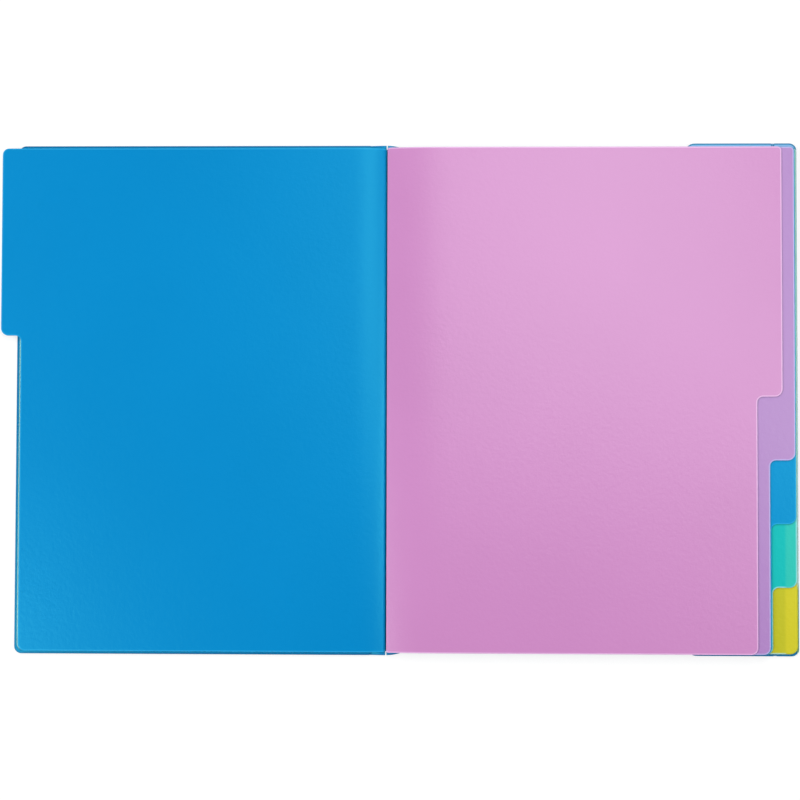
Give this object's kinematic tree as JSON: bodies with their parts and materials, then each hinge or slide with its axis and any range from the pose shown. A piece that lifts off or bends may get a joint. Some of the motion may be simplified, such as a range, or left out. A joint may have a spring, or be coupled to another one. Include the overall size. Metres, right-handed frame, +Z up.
{
  "type": "expanding file",
  "caption": "Expanding file of coloured plastic sheet that opens like a book, with stepped index tabs on its pockets and a closing flap folded under.",
  "frame": {"origin": "on the table, under the middle of the open file", "axes": "+X across the open file from the front cover to the back cover, +Y up the page, +Z up from the table"},
  "size_m": [0.4722, 0.3042, 0.0092],
  "materials": {
    "sheet_yellow": "fine matt polypropylene sheet",
    "sheet_teal": "fine matt polypropylene sheet",
    "sheet_blue": "fine matt polypropylene sheet",
    "sheet_pink": "fine matt polypropylene sheet",
    "sheet_violet": "fine matt polypropylene sheet",
    "sheet_cover": "matt polypropylene cover sheet",
    "hook_tape": "stiff hook tape",
    "loop_tape": "soft loop tape"
  },
  "bodies": {
    "back": {"back_cover": "sheet_cover", "spine_web": "sheet_cover"},
    "front": {"front_cover": "sheet_cover", "loop_coin_upper": "loop_tape", "loop_coin_lower": "loop_tape"},
    "pocket_1": {"pocket_1_front_panel": "sheet_yellow", "pocket_1_back_panel": "sheet_yellow", "pocket_1_spine_weld": "sheet_yellow", "pocket_1_bottom_gusset": "sheet_yellow"},
    "pocket_2": {"pocket_2_front_panel": "sheet_teal", "pocket_2_back_panel": "sheet_teal", "pocket_2_spine_weld": "sheet_teal", "pocket_2_bottom_gusset": "sheet_teal"},
    "pocket_3": {"pocket_3_front_panel": "sheet_blue", "pocket_3_back_panel": "sheet_blue", "pocket_3_spine_weld": "sheet_blue", "pocket_3_bottom_gusset": "sheet_blue"},
    "pocket_4": {"pocket_4_front_panel": "sheet_pink", "pocket_4_back_panel": "sheet_pink", "pocket_4_spine_weld": "sheet_pink", "pocket_4_bottom_gusset": "sheet_pink"},
    "pocket_5": {"pocket_5_front_panel": "sheet_violet", "pocket_5_back_panel": "sheet_violet", "pocket_5_spine_weld": "sheet_violet", "pocket_5_bottom_gusset": "sheet_violet"},
    "pocket_6": {"pocket_6_front_panel": "sheet_blue", "pocket_6_back_panel": "sheet_blue", "pocket_6_spine_weld": "sheet_blue", "pocket_6_bottom_gusset": "sheet_blue"},
    "pocket_7": {"pocket_7_front_panel": "sheet_teal", "pocket_7_back_panel": "sheet_teal", "pocket_7_spine_weld": "sheet_teal", "pocket_7_bottom_gusset": "sheet_teal"},
    "pocket_8": {"pocket_8_front_panel": "sheet_yellow", "pocket_8_back_panel": "sheet_yellow", "pocket_8_spine_weld": "sheet_yellow", "pocket_8_bottom_gusset": "sheet_yellow"},
    "edge": {"edge_gusset": "sheet_cover"},
    "flap": {"closing_flap": "sheet_cover", "hook_coin_upper": "hook_tape", "hook_coin_lower": "hook_tape"}
  },
  "joints": [
    {"name": "front_cover_turn", "type": "hinge", "parent": "back", "child": "front", "pos_m": [-0.0063, 0, 0.00745], "axis": [0, 1, 0], "range_deg": [0, 180], "deforming": ["spine_web"]},
    {"name": "pocket_1_turn", "type": "hinge", "parent": "front", "child": "pocket_1", "pos_m": [-0.0063, 0, 0.00745], "axis": [0, -1, 0], "range_deg": [-180, 0]},
    {"name": "pocket_2_turn", "type": "hinge", "parent": "pocket_1", "child": "pocket_2", "pos_m": [-0.0063, 0, 0.00745], "axis": [0, -1, 0], "range_deg": [-180, 0]},
    {"name": "pocket_3_turn", "type": "hinge", "parent": "pocket_2", "child": "pocket_3", "pos_m": [-0.0063, 0, 0.00745], "axis": [0, -1, 0], "range_deg": [-180, 0]},
    {"name": "pocket_8_turn", "type": "hinge", "parent": "back", "child": "pocket_8", "pos_m": [-0.0063, 0, 0.00745], "axis": [0, 1, 0], "range_deg": [-180, 0]},
    {"name": "pocket_7_turn", "type": "hinge", "parent": "pocket_8", "child": "pocket_7", "pos_m": [-0.0063, 0, 0.00745], "axis": [0, 1, 0], "range_deg": [-180, 0]},
    {"name": "pocket_6_turn", "type": "hinge", "parent": "pocket_7", "child": "pocket_6", "pos_m": [-0.0063, 0, 0.00745], "axis": [0, 1, 0], "range_deg": [-180, 0]},
    {"name": "pocket_5_turn", "type": "hinge", "parent": "pocket_6", "child": "pocket_5", "pos_m": [-0.0063, 0, 0.00745], "axis": [0, 1, 0], "range_deg": [-180, 0]},
    {"name": "pocket_4_turn", "type": "hinge", "parent": "pocket_5", "child": "pocket_4", "pos_m": [-0.0063, 0, 0.00745], "axis": [0, 1, 0], "range_deg": [-180, 0]},
    {"name": "edge_fold", "type": "hinge", "parent": "back", "child": "edge", "pos_m": [0.2364, 0, 0.00175], "axis": [0, -1, 0], "range_deg": [0, 270]},
    {"name": "flap_fold", "type": "hinge", "parent": "edge", "child": "flap", "pos_m": [0.22215, 0, 0.0008], "axis": [0, -1, 0], "range_deg": [0, 90]}
  ]
}
